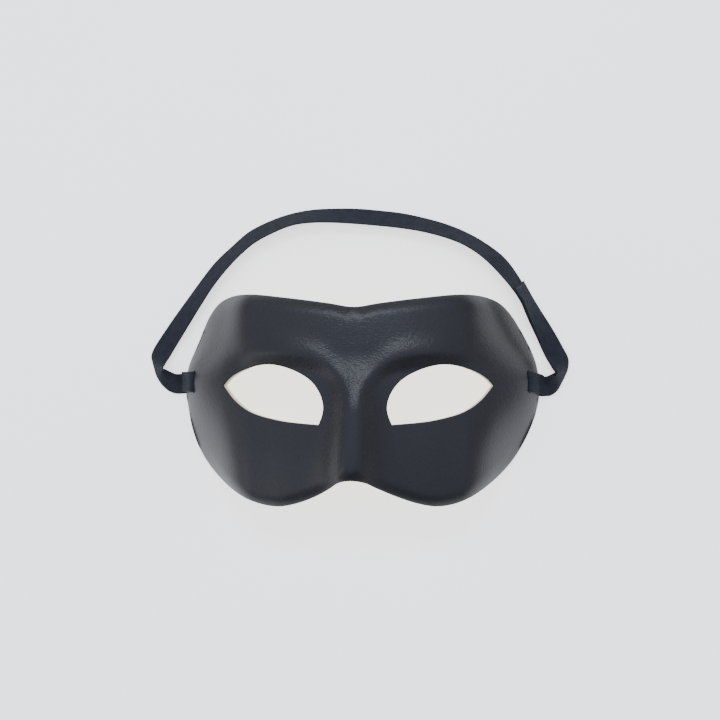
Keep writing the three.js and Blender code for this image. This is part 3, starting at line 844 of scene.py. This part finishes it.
# Seams that close the strap's two loops, each one row of stitches across it. A stitch is thinner
# at its ends and rises from the cloth between them, by shares of its radius
STITCH_LONG = 1.2
STITCH_THICK = 0.32
STITCH_THIN_END = 0.35
STITCH_RISE = 0.5
STITCH_SUNK = 0.3
STITCHES = 6
SEAM_FROM_END = 1.8
SEAM_FROM_SELVEDGE = 1.2


def stitch(start, end):
    """A short thread lying in the cloth: a thin tube that dips in at both ends."""
    radius = STITCH_THICK / 2
    line = np.linspace(0, 1, STITCH_STEPS + 1)[:, None]
    rise = np.sin(math.pi * line[:, 0])
    run = end - start
    direction = run / np.linalg.norm(run)
    across = np.cross(direction, (0, 0, 1.0))
    across /= np.linalg.norm(across)
    up = np.cross(across, direction)
    turn = np.linspace(0, 2 * math.pi, STITCH_SIDES, endpoint=False)
    circle = np.cos(turn)[:, None] * across + np.sin(turn)[:, None] * up
    lift = radius * (STITCH_RISE * rise - STITCH_SUNK)
    middle = start + line * run + up * lift[:, None]
    wide = radius * mix(STITCH_THIN_END, 1, rise)
    points = middle[:, None] + circle[None] * wide[:, None, None]
    return points.reshape(-1, 3), tube_faces(len(line), STITCH_SIDES)


def seam(middle, across, face):
    """A row of stitches across the strap, on the side of it that faces up."""
    upwards = face if face[2] > 0 else -face
    top = middle + upwards * (STRAP_THICK / 2)
    spread = STRAP_WIDTH - 2 * SEAM_FROM_SELVEDGE
    half = across * (STITCH_LONG / 2)
    middles = [top + across * (spread * (i / (STITCHES - 1) - 0.5)) for i in range(STITCHES)]
    return [stitch(at - half, at + half) for at in middles]


def add_stitching(material, middles, across, face, along):
    points, faces, count = [], [], 0
    for place in (SEAM_FROM_END, along[-1] - SEAM_FROM_END):
        i = int(np.searchsorted(along, place))
        for stitch_points, stitch_faces in seam(middles[i], across[i], face[i]):
            points.append(stitch_points)
            faces += [[count + k for k in corners] for corners in stitch_faces]
            count += len(stitch_points)
    return add_piece("strap_stitching", np.vstack(points), faces, material)


def slot_cutter(side):
    """A box with round ends through the wall at a temple, square to the face there."""
    at = np.array([side * SLOT_X]), np.array([SLOT_Y])
    out = face_normal(*at)[0]
    long = np.array([0, 1, 0]) - out[1] * out
    long /= np.linalg.norm(long)
    wide = np.cross(long, out)
    middle = face_point(*at, np.array([WALL / 2]))[0] + SHIFT
    radius = SLOT_WIDE / 2
    straight = SLOT_LONG / 2 - radius
    turns = np.linspace(0, math.pi, SLOT_END_STEPS + 1)
    outline = [(radius * math.cos(t), straight + radius * math.sin(t)) for t in turns]
    outline = np.array(outline + [(-u, -v) for u, v in outline])
    ring = middle + outline[:, :1] * wide + outline[:, 1:] * long
    points = np.vstack([ring - out * SLOT_CUTTER_DEEP / 2, ring + out * SLOT_CUTTER_DEEP / 2])
    return add_object("slot_cutter", new_mesh("slot_cutter", points, tube_faces(2, len(outline))))


def cut_slots(obj):
    cutters = [slot_cutter(side) for side in (1, -1)]
    for cutter in cutters:
        cut = obj.modifiers.new("slot", "BOOLEAN")
        cut.operation = "DIFFERENCE"
        cut.solver = "MANIFOLD"
        cut.object = cutter
    bpy.context.view_layer.update()
    evaluated = obj.evaluated_get(bpy.context.evaluated_depsgraph_get())
    mesh = bpy.data.meshes.new_from_object(evaluated)
    obj.modifiers.clear()
    obj.data = mesh
    shade(mesh)
    for cutter in cutters:
        bpy.data.objects.remove(cutter)


# The table is a lit white surface, as in a light box, so that it shows nearly without shadow
TABLE_HALF_SIZE_M = 3.0
TABLE_GLOW = 1.3
TABLE_GLOW_COLOUR = (1, 0.995, 0.985, 1)
TABLE_PATCH_SCALE = 6.0
TABLE_TONES = [(0.3, (0.88, 0.875, 0.865)), (0.7, (0.91, 0.905, 0.9))]


def add_table():
    material, tree, principled = new_material(
        "pale_table", Roughness=0.6, Emission_Color=TABLE_GLOW_COLOUR, Emission_Strength=TABLE_GLOW,
    )
    patches = noise(tree, object_place(tree), TABLE_PATCH_SCALE)
    put(tree, principled.inputs["Base Color"], colour_ramp(tree, patches, TABLE_TONES))
    size = TABLE_HALF_SIZE_M
    mesh = bpy.data.meshes.new("table")
    corners = [(-size, -size, 0), (size, -size, 0), (size, size, 0), (-size, size, 0)]
    mesh.from_pydata(corners, [], [(0, 1, 2, 3)])
    mesh.materials.append(material)
    add_object("table", mesh)


def add_area_light(name, place, size, power, colour):
    """A rectangular light that faces the mask; place and size in metres."""
    data = bpy.data.lights.new(name, "AREA")
    data.shape = "RECTANGLE"
    data.size, data.size_y = size
    data.energy = power
    data.color = colour
    light = add_object(name, data)
    light.location = place
    light.rotation_euler = (-Vector(place)).to_track_quat("-Z", "Y").to_euler()


# The room as a light, by the direction's x, y and z: brighter and bluer from the horizon up
ROOM_TONES = [
    (0.0, (0.5, 0.49, 0.5)), (0.25, (0.8, 0.8, 0.82)), (0.6, (1.1, 1.14, 1.3)),
    (0.97, (1.3, 1.4, 1.75)),
]
# y * y * y * z is lowest on the cheek side, 30 degrees above the horizon, where the room is dark
DARK_SPAN = (-0.325, 0.0)
DARK_STRENGTH = (0.15, 1.0)
SIDEWAYS_STRENGTH = (1.1, 0.9)


def add_world():
    world = bpy.data.worlds.new("room")
    world.use_nodes = True
    bpy.context.scene.world = world
    tree = world.node_tree
    background = next(n for n in tree.nodes if n.type == "BACKGROUND")
    direction = add_node(tree, "ShaderNodeTexCoord").outputs["Generated"]
    parts = add_node(tree, "ShaderNodeSeparateXYZ", Vector=direction)
    x, y, z = (parts.outputs[name] for name in "XYZ")
    put(tree, background.inputs["Color"], colour_ramp(tree, z, ROOM_TONES))
    cubed = maths(tree, "MULTIPLY", maths(tree, "MULTIPLY", y, y), y)
    halfway_up = maths(tree, "MULTIPLY", cubed, z)
    along_y = value_range(tree, halfway_up, DARK_SPAN, DARK_STRENGTH)
    along_x = value_range(tree, x, (-1.0, 1.0), SIDEWAYS_STRENGTH)
    put(tree, background.inputs["Strength"], maths(tree, "MULTIPLY", along_y, along_x))


add_camera()
strap, strap_middles, strap_across, strap_face, strap_along = add_strap(woven_elastic())
stitches = add_stitching(thread_material(), strap_middles, strap_across, strap_face, strap_along)
cover = add_piece("mask_cover", skin_points + SHIFT, skin_faces, leatherette())
cut_slots(cover)
shell_points, shell_faces = layer_mesh(SKIN_THICKNESS + LAYER_GAP, WALL, SHELL_EDGE_ROUND, 0.0)
shell = add_piece("mask_shell", shell_points + SHIFT, shell_faces, cream_shell())
cut_slots(shell)

for piece, node in ((cover, "leather_cover"), (shell, "shell"), (strap, "strap")):
    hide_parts(node)
    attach(piece, "root")
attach(stitches, "root")

add_table()
add_world()
add_area_light(
    "soft_key", place=(-0.02, 0.62, 0.86), size=(0.5, 0.22), power=3.5, colour=(0.94, 1.0, 1.1),
)
add_area_light(
    "soft_left", place=(-0.85, -0.42, 0.5), size=(0.5, 0.5), power=1.0, colour=(1.0, 1.0, 1.0),
)
